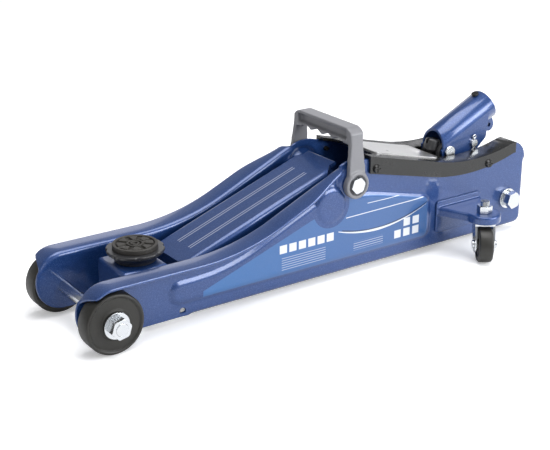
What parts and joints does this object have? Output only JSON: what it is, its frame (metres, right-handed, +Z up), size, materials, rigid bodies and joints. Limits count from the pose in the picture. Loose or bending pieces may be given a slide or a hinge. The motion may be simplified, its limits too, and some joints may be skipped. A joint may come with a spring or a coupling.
{
  "type": "hydraulic trolley jack",
  "caption": "Low-profile hydraulic trolley jack: stamped side plates, hinged lift arm with levelled round saddle, front wheels, rear swivel casters and pump handle socket.",
  "frame": {"origin": "middle of the bounding box at floor level", "axes": "+X from the saddle end towards the pump handle end, +Z up, +Y completes a right-handed frame"},
  "size_m": [0.5886, 0.2366, 0.1685],
  "materials": {
    "blue_paint": "deep blue metallic gloss enamel",
    "dark_paint": "satin black paint on steel and castings",
    "bright_zinc": "bright zinc plating",
    "ground_steel": "turned and ground steel",
    "spring_steel": "oiled spring wire",
    "wheel_black": "moulded black nylon",
    "black_rubber": "black rubber",
    "guard_black": "glossy black moulding",
    "handle_grey": "light grey moulding, fine texture",
    "cover_bright": "bright rolled sheet"
  },
  "bodies": {
    "frame": {"side_plate_left": "blue_paint", "side_plate_right": "blue_paint", "front_axle": "bright_zinc", "axle_spacers": "bright_zinc", "axle_washers": "bright_zinc", "axle_nuts": "bright_zinc", "arm_pivot_shaft": "blue_paint", "link_anchor_pins": "ground_steel", "pump_block": "dark_paint", "reservoir_tube": "dark_paint", "ram_cylinder": "ground_steel", "cylinder_gland": "dark_paint", "rod_wiper": "black_rubber", "filler_plug": "black_rubber", "pump_barrel": "ground_steel", "return_springs": "spring_steel", "rear_washers": "bright_zinc", "rear_lock_washers": "bright_zinc", "rear_bolts": "bright_zinc", "rear_guard": "guard_black", "guard_screws": "guard_black", "top_cover_plate": "cover_bright", "socket_pivot_bolts": "bright_zinc", "caster_bracket_left": "blue_paint", "caster_bracket_right": "blue_paint", "carry_bolts": "bright_zinc", "carry_bolt_nuts": "bright_zinc"},
    "front_wheel_left": {"front_wheel_left": "wheel_black"},
    "front_wheel_right": {"front_wheel_right": "wheel_black"},
    "arm": {"lift_arm": "blue_paint", "crank_pin": "ground_steel", "saddle_pivot_pin": "ground_steel", "saddle_pin_clips": "bright_zinc"},
    "saddle_carrier": {"saddle_bracket": "blue_paint", "link_cross_pin": "ground_steel"},
    "saddle": {"saddle_cup": "dark_paint", "saddle_pad": "black_rubber", "saddle_stem_clip": "bright_zinc"},
    "level_links": {"level_link_left": "dark_paint", "level_link_right": "dark_paint"},
    "ram": {"ram_rod": "ground_steel", "ram_piston": "ground_steel", "ram_fork": "ground_steel"},
    "pump_socket": {"handle_socket": "blue_paint", "socket_screw": "guard_black", "pump_pin": "bright_zinc", "pump_pin_cotter": "bright_zinc"},
    "plunger": {"pump_plunger": "ground_steel", "plunger_spring": "spring_steel"},
    "release_valve": {"release_valve": "dark_paint"},
    "carry_handle": {"carry_handle": "handle_grey"},
    "caster_fork_left": {"caster_fork_left": "bright_zinc", "kingpin_nut_left": "bright_zinc", "caster_axle_left": "bright_zinc"},
    "caster_wheel_left": {"caster_wheel_left": "wheel_black"},
    "caster_fork_right": {"caster_fork_right": "bright_zinc", "kingpin_nut_right": "bright_zinc", "caster_axle_right": "bright_zinc"},
    "caster_wheel_right": {"caster_wheel_right": "wheel_black"}
  },
  "joints": [
    {"name": "front_wheel_left_roll", "type": "hinge", "parent": "frame", "child": "front_wheel_left", "pos_m": [-0.2633, -0.0585, 0.031], "axis": [0, 1, 0], "continuous": true},
    {"name": "front_wheel_right_roll", "type": "hinge", "parent": "frame", "child": "front_wheel_right", "pos_m": [-0.2633, 0.0585, 0.031], "axis": [0, 1, 0], "continuous": true},
    {"name": "arm_lift", "type": "hinge", "parent": "frame", "child": "arm", "pos_m": [0.0057, 0, 0.087], "axis": [0, 1, 0], "range_deg": [0, 75]},
    {"name": "saddle_level", "type": "hinge", "parent": "arm", "child": "saddle_carrier", "pos_m": [-0.2033, 0, 0.04], "axis": [0, 1, 0], "range_deg": [-75, 0]},
    {"name": "saddle_turn", "type": "hinge", "parent": "saddle_carrier", "child": "saddle", "pos_m": [-0.2033, 0, 0.066], "axis": [0, 0, 1], "continuous": true},
    {"name": "level_links_swing", "type": "hinge", "parent": "frame", "child": "level_links", "pos_m": [-0.0032, 0, 0.0626], "axis": [0, 1, 0], "range_deg": [0, 75]},
    {"name": "ram_stroke", "type": "slide", "parent": "frame", "child": "ram", "axis": [-1, 0, 0], "range_m": [0, 0.061], "deforming": ["return_springs"]},
    {"name": "pump_stroke", "type": "hinge", "parent": "frame", "child": "pump_socket", "pos_m": [0.1981, 0, 0.105], "axis": [0, -1, 0], "range_deg": [0, 30]},
    {"name": "plunger_slide", "type": "slide", "parent": "frame", "child": "plunger", "axis": [0, 0, 1], "range_m": [0, 0.018], "deforming": ["plunger_spring"]},
    {"name": "valve_turn", "type": "hinge", "parent": "frame", "child": "release_valve", "pos_m": [0.1897, 0, 0.118], "axis": [0.2588, 0, 0.9659], "range_deg": [0, 270]},
    {"name": "carry_fold", "type": "hinge", "parent": "frame", "child": "carry_handle", "pos_m": [0.0347, 0, 0.107], "axis": [0, 1, 0], "range_deg": [-8, 20]},
    {"name": "caster_left_swivel", "type": "hinge", "parent": "frame", "child": "caster_fork_left", "pos_m": [0.1904, -0.0888, 0.05], "axis": [0, 0, 1], "continuous": true},
    {"name": "caster_left_roll", "type": "hinge", "parent": "caster_fork_left", "child": "caster_wheel_left", "pos_m": [0.1838, -0.09822, 0.02], "axis": [0.8192, -0.5736, 0], "continuous": true},
    {"name": "caster_right_swivel", "type": "hinge", "parent": "frame", "child": "caster_fork_right", "pos_m": [0.1904, 0.0888, 0.05], "axis": [0, 0, 1], "continuous": true},
    {"name": "caster_right_roll", "type": "hinge", "parent": "caster_fork_right", "child": "caster_wheel_right", "pos_m": [0.1838, 0.09822, 0.02], "axis": [0.8192, 0.5736, 0], "continuous": true}
  ],
  "couplings": [
    {"joint": "saddle_level", "follows": "arm_lift", "ratio": -1},
    {"joint": "level_links_swing", "follows": "arm_lift", "ratio": 1},
    {"joint": "ram_stroke", "follows": "arm_lift", "m_per_rad": 0.046506},
    {"joint": "plunger_slide", "follows": "pump_stroke", "m_per_rad": 0.033995}
  ]
}
